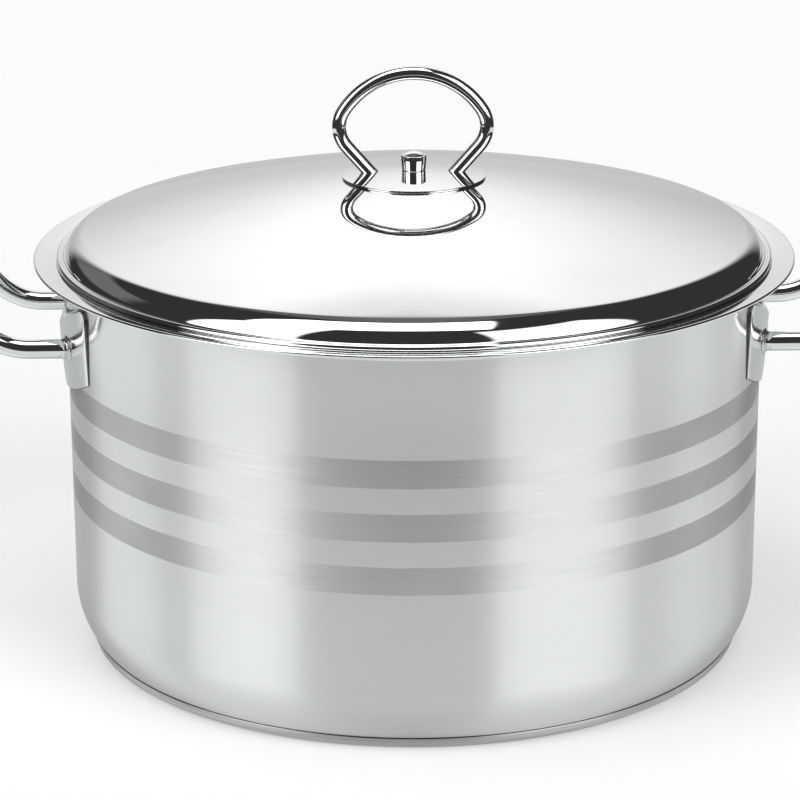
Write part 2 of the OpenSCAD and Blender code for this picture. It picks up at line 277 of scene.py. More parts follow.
def bent_wire(start, heading, inward, steps):
    """Centre line of a wire, bent step by step.

    Steps are ("run", length), ("bend", radius, degrees) and ("roll", degrees)."""
    place = np.array(start, float)
    ahead = np.array(heading, float) / np.linalg.norm(heading)
    side = np.array(inward, float) / np.linalg.norm(inward)
    points = [place.copy()]
    for step in steps:
        if step[0] == "run":
            pieces = max(1, int(step[1] / RUN_PIECE))
            for _ in range(pieces):
                place = place + ahead * step[1] / pieces
                points.append(place.copy())
        elif step[0] == "roll":
            a = math.radians(step[1])
            side = side * math.cos(a) + np.cross(ahead, side) * math.sin(a)
        else:
            radius, angle = step[1], math.radians(step[2])
            pieces = max(4, int(step[2] / BEND_PIECE))
            centre = place + side * radius
            out, along = -side, ahead
            for k in range(1, pieces + 1):
                a = angle * k / pieces
                points.append(centre + radius * (out * math.cos(a) + along * math.sin(a)))
            place = points[-1].copy()
            ahead = -out * math.sin(angle) + along * math.cos(angle)
            side = -(out * math.cos(angle) + along * math.sin(angle))
    return points


def mirrored(mesh):
    """A mesh mirrored from +X to -X, with its faces still facing out."""
    vertices, faces = mesh
    return [(-v[0], v[1], v[2]) for v in vertices], [face[::-1] for face in faces]


def turned(mesh, degrees):
    """A mesh turned about Z."""
    a = math.radians(degrees)
    c, s = math.cos(a), math.sin(a)
    vertices, faces = mesh
    return [(v[0] * c - v[1] * s, v[0] * s + v[1] * c, v[2]) for v in vertices], faces


def widest(node, low, high):
    """Largest distance from the axis of a node's points between two shares of its height."""
    a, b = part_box(node)
    z0, z1 = a.z + low * (b.z - a.z), a.z + high * (b.z - a.z)
    found = [math.hypot(v.co.x, v.co.y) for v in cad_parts[node].data.vertices
             if z0 <= v.co.z <= z1]
    return max(found)


# ------------------------------------------------------------------ materials

class Tree:
    """Short forms for building a node tree."""

    def __init__(self, tree):
        self.tree = tree
        tree.nodes.clear()

    def link(self, target, value):
        if hasattr(value, "is_linked"):
            self.tree.links.new(value, target)
        else:
            target.default_value = value

    def node(self, kind, inputs=None, **settings):
        made = self.tree.nodes.new(kind)
        for key, value in settings.items():
            setattr(made, key, value)
        for key, value in (inputs or {}).items():
            self.link(made.inputs[key], value)
        return made

    def math(self, operation, *values):
        inputs = dict(enumerate(values))
        return self.node("ShaderNodeMath", inputs, operation=operation).outputs[0]

    def product(self, *values):
        """The values multiplied together."""
        return reduce(lambda a, b: self.math("MULTIPLY", a, b), values)

    def total(self, *values):
        """The values added together."""
        return reduce(lambda a, b: self.math("ADD", a, b), values)

    def minus(self, value, amount):
        return self.math("SUBTRACT", value, amount)

    def length(self, x, y):
        """Length of a level vector."""
        return self.math("SQRT", self.total(self.product(x, x), self.product(y, y)))

    def step(self, value, low, high, start=0.0, end=1.0):
        """Rises smoothly from start at low to end at high."""
        made = self.node("ShaderNodeMapRange", interpolation_type="SMOOTHSTEP")
        for key, item in zip(("Value", "From Min", "From Max", "To Min", "To Max"),
                             (value, low, high, start, end)):
            self.link(made.inputs[key], item)
        return made.outputs[0]

    def window(self, value, low, high, soft):
        """One between low and high, nothing outside, with soft edges."""
        rise = self.step(value, low - soft, low + soft)
        fall = self.step(value, high - soft, high + soft, 1.0, 0.0)
        return self.product(rise, fall)

    def mix(self, factor, a, b):
        made = self.node("ShaderNodeMix", data_type="RGBA")
        self.link(made.inputs["Factor"], factor)
        self.link(made.inputs[6], a)
        self.link(made.inputs[7], b)
        return made.outputs[2]

    def blend(self, factor, a, b):
        made = self.node("ShaderNodeMix", data_type="FLOAT")
        self.link(made.inputs["Factor"], factor)
        self.link(made.inputs[2], a)
        self.link(made.inputs[3], b)
        return made.outputs[0]

    def noise(self, vector, scale, detail=3.0, roughness=0.55):
        made = self.node("ShaderNodeTexNoise",
                         {"Vector": vector, "Scale": scale, "Detail": detail, "Roughness": roughness})
        return made.outputs[0]

    def place(self):
        """Position in the part's own frame, as a vector and as three values."""
        point = self.node("ShaderNodeTexCoord").outputs["Object"]
        split = self.node("ShaderNodeSeparateXYZ", {0: point})
        return point, split.outputs[0], split.outputs[1], split.outputs[2]

    def turned_grain(self, across, along):
        """Streaks that run round the Z axis, on walls and on floors alike. The values are per metre."""
        _, x, y, z = self.place()
        rise = self.product(self.total(z, self.length(x, y)), across)
        vector = self.node("ShaderNodeCombineXYZ", {
            0: self.product(x, along), 1: self.product(y, along), 2: rise}).outputs[0]
        return self.noise(vector, 1.0, 4.0, 0.65)

    def bump(self, height, distance):
        return self.node("ShaderNodeBump",
                         {"Height": height, "Strength": 1.0, "Distance": distance}).outputs[0]


def material(name, slot, paint):
    """A node material for one of the record's slots; paint(tree) returns the shader."""
    made = bpy.data.materials.new(name)
    made["slot"] = slot
    made.use_nodes = True
    tree = Tree(made.node_tree)
    shader = paint(tree)
    output = tree.node("ShaderNodeOutputMaterial")
    tree.tree.links.new(shader, output.inputs["Surface"])
    return made


# Colours of the metals, depth of their brushing, and the turn that sets their grain round the axis.
MIRROR = (0.84, 0.85, 0.845, 1)
CLEAR_WALL = (0.84, 0.845, 0.84, 1)
WALL_DARK = (0.81, 0.815, 0.81, 1)
WALL_LIGHT = (0.85, 0.855, 0.85, 1)
WALL_CLOUD = (0.79, 0.795, 0.79, 1)
BAND_DARK = (0.74, 0.75, 0.745, 1)
BAND_LIGHT = (0.88, 0.885, 0.88, 1)
BRACKET_CLEAN = (0.74, 0.75, 0.745, 1)
BRACKET_DULL = (0.68, 0.69, 0.685, 1)
WIRE_CLEAN = (0.80, 0.81, 0.82, 1)
WIRE_DULL = (0.70, 0.71, 0.72, 1)
BAND_RAGGED = 0.8 * MM
BRUSH_DEPTH = 0.02 * MM
QUARTER_TURN = 0.25


def grey(value, blue=0.0):
    """A neutral metal colour, or one whose blue is a little off."""
    return (value, value, value + blue, 1)


def steel(tree, colour, roughness, normal=None, stretch=0.0):
    """A metal; stretch blurs its reflections across the grain that runs round the Z axis."""
    made = tree.node("ShaderNodeBsdfPrincipled", {
        "Base Color": colour, "Metallic": 1.0, "Roughness": roughness,
        "Anisotropic": stretch, "Anisotropic Rotation": QUARTER_TURN})
    if stretch > 0:
        tangent = tree.node("ShaderNodeTangent", direction_type="RADIAL", axis="Z")
        tree.link(made.inputs["Tangent"], tangent.outputs[0])
    if normal is not None:
        tree.link(made.inputs["Normal"], normal)
    return made.outputs[0]


def paint_polished(low, high, ripple):
    """Mirror polish with faint smudges, hairline scratches and the ripple of pressed sheet."""
    def paint(tree):
        point, _, _, _ = tree.place()
        smudge = tree.step(tree.noise(point, 22.0, 4.0, 0.6), 0.45, 0.75)
        roughness = tree.blend(smudge, low, high)
        wave = tree.noise(point, 28.0, 1.0, 0.4)
        hair = tree.turned_grain(3000.0, 60.0)
        height = tree.total(wave, tree.product(hair, 0.004))
        tone = tree.mix(smudge, MIRROR, tuple(c * 0.965 for c in MIRROR[:3]) + (1.0,))
        return steel(tree, tone, roughness, tree.bump(height, ripple))
    return paint


def paint_wall(tree):
    """Satin wall polished round the pot, with three coarser brushed bands."""
    point, _, _, z = tree.place()
    from_middle = tree.minus(z, BAND_MIDDLE_Z)
    nearest = tree.math("ROUND", tree.math("DIVIDE", from_middle, BAND_PITCH))
    nearest = tree.math("MINIMUM", tree.math("MAXIMUM", nearest, -1.0), 1.0)
    offset = tree.math("ABSOLUTE", tree.minus(from_middle, tree.product(nearest, BAND_PITCH)))
    ragged = tree.product(tree.minus(tree.turned_grain(1800.0, 40.0), 0.5), BAND_RAGGED)
    offset = tree.total(offset, ragged)
    band = tree.step(offset, BAND_HEIGHT / 2 - BAND_SOFT, BAND_HEIGHT / 2 + BAND_SOFT, 1.0, 0.0)

    fine = tree.turned_grain(2400.0, 22.0)
    coarse = tree.turned_grain(700.0, 14.0)
    cloud = tree.noise(point, 16.0, 3.0, 0.6)
    streak = tree.step(tree.total(tree.product(fine, 0.6), tree.product(coarse, 0.4)), 0.3, 0.7)
    wall_tone = tree.mix(streak, WALL_DARK, WALL_LIGHT)
    wall_tone = tree.mix(tree.step(cloud, 0.3, 0.7, 0.0, 0.35), wall_tone, WALL_CLOUD)
    band_tone = tree.mix(streak, BAND_DARK, BAND_LIGHT)
    # The bands' brushing is worn in patches.
    worn = tree.product(band, tree.step(tree.noise(point, 9.0, 3.0, 0.6), 0.35, 0.6, 0.65, 1.0))
    tone = tree.mix(worn, wall_tone, band_tone)
    roughness = tree.blend(worn, tree.blend(streak, 0.28, 0.32), tree.blend(streak, 0.40, 0.47))
    height = tree.product(fine, tree.blend(band, 0.12, 1.0))
    satin = steel(tree, tone, roughness, tree.bump(height, BRUSH_DEPTH), 0.98)
    # Outside the bands the polish is clearer, most of all near the rim.
    clear = steel(tree, CLEAR_WALL, 0.09)
    share = tree.product(tree.minus(1.0, band), tree.step(z, 0.13, 0.19, 0.12, 0.4))
    return tree.node("ShaderNodeMixShader", {0: share, 1: satin, 2: clear}).outputs[0]


def paint_turned(colour, shade, roughness, stretch, groove):
    """Metal brushed round the axis, such as the base and the inside of the pot."""
    def paint(tree):
        grain = tree.turned_grain(1500.0, 20.0)
        streak = tree.step(grain, 0.3, 0.7)
        tone = tree.mix(streak, shade, colour)
        rough = tree.blend(streak, roughness * 0.85, roughness * 1.15)
        return steel(tree, tone, rough, tree.bump(grain, groove), stretch)
    return paint


def paint_bracket(tree):
    """Polished sheet, a little duller than the rods, with a round spot weld mark in each lower corner."""
    point, _, y, z = tree.place()
    across = tree.minus(tree.math("ABSOLUTE", y), SPOT_WELD_Y)
    away = tree.length(across, tree.minus(z, SPOT_WELD_Z))
    dent = tree.step(away, 0.6 * SPOT_WELD_R, SPOT_WELD_R, -1.0, 0.0)
    smudge = tree.step(tree.noise(point, 60.0, 4.0, 0.6), 0.4, 0.75)
    tone = tree.mix(smudge, BRACKET_CLEAN, BRACKET_DULL)
    wave = tree.product(tree.noise(point, 45.0, 1.0, 0.4), 0.1)
    height = tree.total(wave, tree.product(dent, 0.5))
    return steel(tree, tone, tree.blend(smudge, 0.14, 0.2), tree.bump(height, 0.3 * MM))


def paint_wire(tree):
    """Electropolished wire, with the orange peel and dull spots of a plated rack."""
    point, _, _, _ = tree.place()
    peel = tree.noise(point, 900.0, 2.0, 0.5)
    dull = tree.step(tree.noise(point, 60.0, 3.0, 0.6), 0.4, 0.7)
    tone = tree.mix(dull, WIRE_CLEAN, WIRE_DULL)
    return steel(tree, tone, tree.blend(dull, 0.1, 0.22), tree.bump(peel, 0.01 * MM))


# ----------------------------------------------------------------- the camera

LENS = 135.6
SENSOR_WIDTH = 36.0
CAMERA_DISTANCE = 1594.2 * MM
CAMERA_RISE = math.radians(17.80)
CAMERA_TURN = math.radians(-1.5)
CAMERA_ROLL = math.radians(-0.19)
TARGET_SIDE = -7.5 * MM
TARGET_Z = 123.3 * MM


def make_camera():
    data = bpy.data.cameras.new("camera")
    data.lens = LENS
    data.sensor_width = SENSOR_WIDTH
    camera = bpy.data.objects.new("camera", data)
    bpy.context.scene.collection.objects.link(camera)
    across = Vector((math.cos(CAMERA_TURN), math.sin(CAMERA_TURN), 0))
    back = Vector((math.sin(CAMERA_TURN) * math.cos(CAMERA_RISE),
                   -math.cos(CAMERA_TURN) * math.cos(CAMERA_RISE), math.sin(CAMERA_RISE)))
    target = across * TARGET_SIDE + Vector((0, 0, cad_box[0].z + TARGET_Z))
    turn = (-back).to_track_quat("-Z", "Y").to_matrix().to_4x4() @ Matrix.Rotation(CAMERA_ROLL, 4, "Z")
    camera.matrix_world = Matrix.Translation(target + back * CAMERA_DISTANCE) @ turn
    bpy.context.scene.camera = camera


# ----------------------------------------------------------------- the studio

# Directions are in degrees. The azimuth is 0 toward the camera and grows to the right; the spread is the
# azimuth without its sign; the rise is 0 at the horizon and 90 straight up.
DEGREES = 180 / math.pi

# Lit panels: azimuth from and to, rise from and to, softness, power.
RIGHT_BANK = (24.0, 73.0, 2.0, 53.0, 1.5, 1.35)
RIGHT_GLOW = (30.0, 66.0, 4.0, 50.0, 5.0, 0.9)
LEFT_BANK = (-74.0, -46.0, 4.0, 50.0, 5.0, 0.9)
BACK_LEFT_GLOW = (-150.0, -108.0, 10.0, 30.0, 6.0, 0.13)
PANEL_END_SOFT = 2.0

# The overhead cloth's edges, in distances for a cloth that hangs one unit above the pot.
CLOTH_BACK = 0.22
CLOTH_FRONT = 0.445
CLOTH_RIGHT = 0.24
CLOTH_SOFT = 0.012
CLOTH_SIDE_SOFT = 0.015
ROOM_LIGHT = 0.035

# The floor that the camera sees, and the table that the steel reflects instead of it.
TABLE_FRONT_POWER = 0.78
TABLE_SIDE_POWER = 0.86
TABLE_DARK = 0.04
FLOOR_GLOW = 0.27
FLOOR_REACH = 6.0
FLOOR_STEPS = 96
FLOOR_DROP = 0.2 * MM


def from_camera(tree, x, y):
    """A level direction, turned so that Y points away from the camera, which the studio is set up round."""
    look = tree.node("ShaderNodeVectorTransform", {"Vector": (0, 0, 1)},
                     vector_type="VECTOR", convert_from="CAMERA", convert_to="WORLD").outputs[0]
    look_x, look_y, _ = tree.node("ShaderNodeSeparateXYZ", {0: look}).outputs
    c, s = math.cos(-CAMERA_TURN), math.sin(-CAMERA_TURN)

    def combine(a, share_a, b, share_b):
        return tree.total(tree.product(a, share_a), tree.product(b, share_b))

    level = tree.math("MAXIMUM", tree.length(look_x, look_y), 0.001)
    ahead_x = tree.math("DIVIDE", combine(look_x, c, look_y, -s), level)
    ahead_y = tree.math("DIVIDE", combine(look_x, s, look_y, c), level)
    across = tree.minus(tree.product(x, ahead_y), tree.product(y, ahead_x))
    return across, combine(x, ahead_x, y, ahead_y)


def overhead_cloth(tree, x, y, z, azimuth, rise):
    """One inside the cloth that hangs overhead and nothing outside; its edges are straight."""
    def line(slope, offset):
        return tree.total(tree.product(x, slope), tree.product(z, offset))

    left_edge = tree.math("MAXIMUM", line(0.75, 0.42), line(0.2, -0.02))
    back_edge = tree.math("MINIMUM", line(0.0, CLOTH_BACK), left_edge)
    back = tree.step(tree.minus(back_edge, y), -CLOTH_SOFT, CLOTH_SOFT)
    right_edge = tree.minus(tree.minus(line(0.0, CLOTH_RIGHT), x), tree.product(y, 0.2))
    right = tree.step(right_edge, -CLOTH_SIDE_SOFT, CLOTH_SIDE_SOFT)
    front = tree.step(tree.total(line(0.0, CLOTH_FRONT), y), -CLOTH_SOFT, CLOTH_SOFT)
    # Left of the camera the cloth has no front edge.
    front = tree.math("MAXIMUM", front, tree.step(azimuth, -41.0, -38.5, 1.0, 0.0))
    return tree.product(back, right, front, tree.step(rise, 0.0, 3.0))


def studio(tree):
    """A dark room with an overhead cloth, a backdrop and lit banks beside the camera."""
    direction = tree.node("ShaderNodeTexCoord").outputs["Generated"]
    x, y, z = tree.node("ShaderNodeSeparateXYZ", {0: direction}).outputs
    x, y = from_camera(tree, x, y)
    azimuth = tree.product(tree.math("ARCTAN2", x, tree.product(y, -1.0)), DEGREES)
    spread = tree.math("ABSOLUTE", azimuth)
    rise = tree.product(tree.math("ARCSINE", z), DEGREES)

    def panel(left, right, low, high, soft, power):
        shape = tree.product(tree.window(azimuth, left, right, soft),
                             tree.window(rise, low, high, PANEL_END_SOFT))
        return tree.product(shape, power)

    # The backdrop is lit up to a soft edge, brightest just below it, and dim from there to its top.
    backdrop = tree.product(
        tree.step(spread, 148.0, 160.0),
        tree.step(rise, 45.4, 48.0, 1.0, 0.14),
        tree.step(rise, 72.0, 76.0, 1.0, 0.0),
        tree.step(rise, 0.0, 36.0, 0.60, 1.22),
        tree.step(rise, 40.5, 46.5, 1.0, 0.7),
        tree.step(spread, 160.0, 176.0, 0.8, 1.0))
    # The cloth is brighter near its middle.
    cloth = overhead_cloth(tree, x, y, z, azimuth, rise)
    cloth = tree.product(cloth, tree.step(rise, 50.0, 66.0, 1.35, 2.8))
    banks = [panel(*bank) for bank in (RIGHT_BANK, RIGHT_GLOW, LEFT_BANK, BACK_LEFT_GLOW)]
    light = tree.total(backdrop, ROOM_LIGHT, cloth, *banks)
    seen = tree.node("ShaderNodeBackground", {"Color": (0.96, 0.965, 0.965, 1), "Strength": 1.0})
    lit = tree.node("ShaderNodeBackground", {"Color": (0.985, 1.0, 0.995, 1), "Strength": light})
    path = tree.node("ShaderNodeLightPath")
    return tree.node("ShaderNodeMixShader", {
        0: path.outputs["Is Camera Ray"], 1: lit.outputs[0], 2: seen.outputs[0]})


def make_studio():
    world = bpy.data.worlds.new("studio")
    world.use_nodes = True
    tree = Tree(world.node_tree)
    shader = studio(tree)
    output = tree.node("ShaderNodeOutputWorld")
    tree.tree.links.new(shader.outputs[0], output.inputs["Surface"])
    bpy.context.scene.world = world
    world.cycles.sampling_method = "MANUAL"
    world.cycles.sample_map_resolution = 1024
    bpy.context.scene.view_settings.view_transform = "Standard"


def reflected_table(tree, radius):
    """What the steel sees below: a lit table, and the dark room beyond it. Distances are in metres."""
    incoming = tree.node("ShaderNodeNewGeometry").outputs["Incoming"]
    split = tree.node("ShaderNodeSeparateXYZ", {0: incoming})
    to_x, to_y = from_camera(tree, split.outputs[0], split.outputs[1])
    heading = tree.product(tree.math("ARCTAN2", tree.product(to_x, -1.0), to_y), DEGREES)
    spread = tree.math("ABSOLUTE", heading)

    # The table ends nearer in front than at the sides, and behind the pot it has no edge.
    side_edge = tree.step(radius, 1.0, 1.3, 1.0, 0.0)
    front_edge = tree.step(radius, 0.75, 1.0, 1.0, 0.0)
    edge = tree.blend(tree.step(spread, 40.0, 60.0, 1.0, 0.0), side_edge, front_edge)
    lit = tree.math("MAXIMUM", edge, tree.step(spread, 146.0, 154.0))
    # The table's glow is painted light: brighter below the banks and at the sides, darker toward the
    # backdrop, and darker right round the pot as a painted contact shadow.
    strips = tree.total(tree.window(heading, -79.0, -40.0, 1.5), tree.window(heading, 25.0, 73.0, 1.5))
    sides = tree.step(spread, 74.0, 80.0, TABLE_FRONT_POWER, TABLE_SIDE_POWER)
    left = tree.product(tree.window(heading, -130.0, -96.0, 6.0), 0.22)
    right = tree.product(tree.window(heading, 92.0, 112.0, 8.0), 0.16)
    power = tree.product(
        tree.total(sides, tree.product(strips, 0.12)),
        tree.step(spread, 126.0, 138.0, 1.0, 0.68),
        tree.total(left, right, 1.0),
        # Painted contact shadow: the glow drops near the pot.
        tree.step(radius, 0.17, 0.25, 0.75, 1.0))
    return tree.node("ShaderNodeEmission", {
        "Color": (0.97, 1.0, 0.99, 1), "Strength": tree.blend(lit, TABLE_DARK, power)}).outputs[0]


def paint_floor(tree):
    """Pale floor for the camera, and a lit table for the steel's reflections."""
    point, x, y, _ = tree.place()
    mottle = tree.noise(point, 3.0, 2.0)
    tone = tree.mix(mottle, (0.86, 0.865, 0.865, 1), (0.88, 0.885, 0.885, 1))
    pale = tree.node("ShaderNodeBsdfDiffuse", {"Color": tone}).outputs[0]
    glow = tree.node("ShaderNodeEmission", {"Color": (1, 1, 1, 1), "Strength": FLOOR_GLOW}).outputs[0]
    bright = tree.node("ShaderNodeAddShader", {0: pale, 1: glow}).outputs[0]
    table = reflected_table(tree, tree.length(x, y))
    glossy = tree.node("ShaderNodeLightPath").outputs["Is Glossy Ray"]
    return tree.node("ShaderNodeMixShader", {0: glossy, 1: bright, 2: table}).outputs[0]


def make_floor():
    """A pale level floor that reaches past the picture's edges."""
    low = cad_box[0].z - FLOOR_DROP
    mesh = bpy.data.meshes.new("floor")
    turns = [2 * math.pi * k / FLOOR_STEPS for k in range(FLOOR_STEPS)]
    ring = [(FLOOR_REACH * math.cos(a), FLOOR_REACH * math.sin(a), low) for a in turns]
    mesh.from_pydata(ring, [], [tuple(range(FLOOR_STEPS))])
    mesh.materials.append(material("pale_floor", "", paint_floor))
    floor = bpy.data.objects.new("floor", mesh)
    bpy.context.scene.collection.objects.link(floor)


# -------------------------------------------------------------------- the pot

def make_pot(finish, wall):
    """The pot's sheet: floor, tight corner inside the base cap, wide corner, wall, flare and rim."""
    low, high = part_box("pot_shell")
    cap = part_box("base_cap")[1]
    flare_x = wall + FLARE_R
    bead_x = high.x - RIM_BEAD_R
    skin = FLARE_R + POT_SHEET
    # The rim's upper face rises by RIM_SLOPE to the bead, whose top is the node's top.
    bead_z = high.z - RIM_BEAD_R
    top_x = flare_x - skin * math.sin(RIM_SLOPE)
    top_z = bead_z + RIM_BEAD_R / math.cos(RIM_SLOPE) - (bead_x - top_x) * math.tan(RIM_SLOPE)
    flare_z = top_z - skin * math.cos(RIM_SLOPE)
    corner_x = wall - CORNER_R
    corner_z = cap.z + math.sqrt(CORNER_R ** 2 - (cap.x - corner_x) ** 2)
    seam = math.atan2(cap.z - corner_z, cap.x - corner_x)
    tight_x = cap.x - TIGHT_R * math.cos(seam)
    tight_z = cap.z - TIGHT_R * math.sin(seam)

    def side(inset):
        middle = [(0.0, low.z + inset)]
        tight = arc(tight_x, tight_z, TIGHT_R - inset, -math.pi / 2, seam, TIGHT_STEPS)
        return middle + tight + arc(corner_x, corner_z, CORNER_R - inset, seam, 0, 40)

    def turn(inset):
        return arc(flare_x, flare_z, FLARE_R + inset, math.pi, math.pi / 2 + RIM_SLOPE)

    bead = arc(bead_x, bead_z, RIM_BEAD_R, -math.pi, math.pi / 2 + RIM_SLOPE, 20)
    # The tight corner tucked into the seam's gap takes the seam finish: near-black metal, painted shade for
    # the groove between the wall and the base cap.
    paints = [finish["wall"], finish["rim"], finish["inside"], finish["seam"]]
    outer, rim, inner, shaded_seam = range(len(paints))
    tight_points = 1 + TIGHT_STEPS
    mesh = lathe([
        (side(0)[:tight_points], shaded_seam), (side(0)[tight_points:], outer), (turn(0)[:1], outer),
        (turn(0)[1:], rim), (bead, rim), (turn(POT_SHEET)[::-1], rim), (side(POT_SHEET)[::-1], inner)])
    build("pot_body", mesh[0], mesh[1], "pot", paints, mesh[2], ["pot_shell"])


def make_base(finish):
    """The cap's dished sheet, whose upper edge stays short of the pot by the seam's gap."""
    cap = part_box("base_cap")[1]
    r = CAP_ROUND_R
    top = cap.z - SEAM_GAP
    outer = arc(cap.x - r, r, r, -math.pi / 2, 0, 16)
    edge = arc(cap.x - CAP_EDGE_R, top - CAP_EDGE_R, CAP_EDGE_R, 0, math.pi / 2, 4)
    inner = arc(cap.x - r, r, r - CAP_SHEET, 0, -math.pi / 2, 12)
    line = [(0.0, 0.0)] + outer + edge + [(cap.x - CAP_SHEET, top)] + inner + [(0.0, CAP_SHEET)]
    mesh = lathe([(line, 0)])
    build("base_disc_cap", mesh[0], mesh[1], "pot", [finish["base"]], mesh[2], ["base_cap"])


def make_handles(finish):
    """One rod bent up, across and down again, and its mirror image."""
    low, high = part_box("right_handle_rod")
    arm_y = high.y - ROD_R
    arm_z = low.z + ROD_R
    rise = math.radians(GRIP_ANGLE)
    bend_x = high.x - ROD_R - (GRIP_RUN + GRIP_CORNER_R) * math.cos(rise) - ARM_BEND_R * math.sin(rise)
    start_x = low.x - ARM_SINK
    arm = [("run", bend_x - start_x), ("bend", ARM_BEND_R, GRIP_ANGLE), ("run", GRIP_RUN)]
    grip = [("roll", 90), ("bend", GRIP_CORNER_R, 90), ("run", 2 * (arm_y - GRIP_CORNER_R)),
            ("bend", GRIP_CORNER_R, 90), ("run", GRIP_RUN), ("roll", -90)]
    steps = arm + grip + [("bend", ARM_BEND_R, GRIP_ANGLE), ("run", bend_x - start_x)]
    line = bent_wire((start_x, arm_y, arm_z), (1, 0, 0), (0, 0, 1), steps)
    rod = tube(line, ROD_R, sides=40)
    build("right_handle", *rod, "pot", [finish["rod"]], None, ["right_handle_rod"])
    build("left_handle", *mirrored(rod), "pot", [finish["rod"]], None, ["left_handle_rod"])


def bracket_line(side_y, low_z, top_z, inset, steps=28):
    """Outline of a bracket in the YZ plane, taken in by inset."""
    drop = BRACKET_SIDE_RISE
    low_r = (side_y ** 2 + drop ** 2) / (2 * drop)
    half = math.asin(side_y / low_r)
    corner = BRACKET_CORNER_R
    points = arc(0, low_z + low_r, low_r - inset, -math.pi / 2 - half, -math.pi / 2 + half, 2 * steps)
    points += arc(side_y - corner, top_z - corner, corner - inset, 0, math.pi / 2, 8)
    points += arc(-side_y + corner, top_z - corner, corner - inset, math.pi / 2, math.pi, 8)
    return points


def make_brackets(finish, wall):
    """Pressed sheets, more sharply curved than the pot so that they bulge, with their weld beads."""
    low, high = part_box("right_handle_bracket")
    side_y = high.y
    edge_x = math.sqrt((wall + BRACKET_SHEET) ** 2 - side_y ** 2)
    sag = wall + BRACKET_BULGE - edge_x
    plan_r = (side_y ** 2 + sag ** 2) / (2 * sag)
    axis_x = wall + BRACKET_BULGE - plan_r
    apex_z = high.z - BRACKET_APEX_DROP

    def face(y, z, depth=0.0):
        """Distance from the axis plane of the sheet's front, or of a face depth behind it."""
        reach = plan_r - depth - BRACKET_FACE_R + math.sqrt(BRACKET_FACE_R ** 2 - (z - apex_z) ** 2)
        x = axis_x + math.sqrt(reach ** 2 - y ** 2)
        if depth > 0.5 * BRACKET_SHEET:
            x = max(x, math.sqrt((wall + BRACKET_GAP) ** 2 - y ** 2))
        return x

    def between(turn, depth):
        """A ring part of the way from the flat face's outline to the sheet's full outline."""
        share = math.sin(turn)
        return [(a[0] + (b[0] - a[0]) * share, a[1] + (b[1] - a[1]) * share, depth)
                for a, b in zip(outline, full)]

    def flat(share, depth):
        return [(y * share, middle_z + (z - middle_z) * share, depth) for y, z in outline]

    # Rings of points from the middle of the front, over a rounded edge, to the middle of the back.
    middle_z = (low.z + high.z) / 2
    outline = bracket_line(side_y, low.z, high.z, BRACKET_EDGE_R)
    full = bracket_line(side_y, low.z, high.z, 0.0)
    shares = np.linspace(0.1, 0.95, 10)
    turns = np.linspace(0, math.pi / 2, 5)
    rings = [flat(share, 0.0) for share in shares]
    rings += [between(turn, BRACKET_EDGE_R * (1 - math.cos(turn))) for turn in turns]
    rings += [between(turn, BRACKET_SHEET - BRACKET_EDGE_R * (1 - math.cos(turn))) for turn in turns[::-1]]
    rings += [flat(share, BRACKET_SHEET) for share in shares[::-1]]
    vertices = [(face(0, middle_z), 0.0, middle_z)]
    for ring in rings:
        vertices += [(face(y, z, depth), y, z) for y, z, depth in ring]
    vertices.append((face(0, middle_z, BRACKET_SHEET), 0.0, middle_z))
    count = len(outline)
    first_edge, last_edge = len(shares) + 1, len(rings) - len(shares) - 2
    faces, slots = [], []
    for k in range(count):
        n = (k + 1) % count
        faces.append((0, 1 + k, 1 + n))
        slots.append(0)
        for i in range(len(rings) - 1):
            a, b = 1 + i * count, 1 + (i + 1) * count
            faces.append((a + k, b + k, b + n, a + n))
            slots.append(1 if first_edge <= i < last_edge else 0)
        last = 1 + (len(rings) - 1) * count
        faces.append((last + n, last + k, len(vertices) - 1))
        slots.append(0)
    plate = (vertices, faces)
    # The sheet's rounded edge takes a near-black metal, for the dark line along the bracket's edge.
    paints = [finish["bracket"], finish["near_black_edge"]]
    build("right_bracket", *plate, "pot", paints, slots, ["right_handle_bracket"])
    build("left_bracket", *mirrored(plate), "pot", paints, slots, ["left_handle_bracket"])

    rod_low, rod_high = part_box("right_handle_rod")
    arm_y = rod_high.y - ROD_R
    arm_z = rod_low.z + ROD_R
    welds = joined([weld(face, side * arm_y, arm_z) for side in (-1, 1)])
    build("right_handle_welds", *welds, "pot", [finish["weld"]])
    build("left_handle_welds", *mirrored(welds), "pot", [finish["weld"]])


def weld(face, arm_y, arm_z, steps=72):
    """A slightly uneven fillet of weld metal where a handle's arm meets its bracket."""
    # The fillet's section: distance out from the rod, and height above the bracket.
    section = [(-WELD_SINK, 1.7 * MM), (0.3 * MM, 1.35 * MM), (0.6 * MM, 0.8 * MM), (1.1 * MM, 0.38 * MM),
               (1.7 * MM, 0.08 * MM), (1.9 * MM, -WELD_SINK), (-WELD_SINK, -WELD_SINK)]
    vertices, faces = [], []
    for over, lift in section:
        for k in range(steps):
            a = 2 * math.pi * k / steps
            swell = 1 + 0.07 * math.sin(9 * a) + 0.05 * math.sin(14 * a + 1)
            reach = ROD_R + (over if over < 0 else over * swell)
            y, z = arm_y + reach * math.cos(a), arm_z + reach * math.sin(a)
            vertices.append((face(y, z) + (lift if lift < 0 else lift * swell), y, z))
    for i in range(len(section)):
        there = (i + 1) % len(section)
        for k in range(steps):
            n = (k + 1) % steps
            faces.append((i * steps + k, there * steps + k, there * steps + n, i * steps + n))
    return vertices, faces


# --------------------------------------------------------------------- the lid

LID_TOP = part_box("lid_shell")[1].z


def crown(r):
    """Height of the lid's upper face at a distance from the axis."""
    return LID_TOP - CROWN_RISE * (r / CROWN_R) ** CROWN_POWER


def crown_slope(r):
    """Angle at which the lid's upper face falls away there."""
    return math.atan(CROWN_POWER * CROWN_RISE / CROWN_R * (r / CROWN_R) ** (CROWN_POWER - 1))


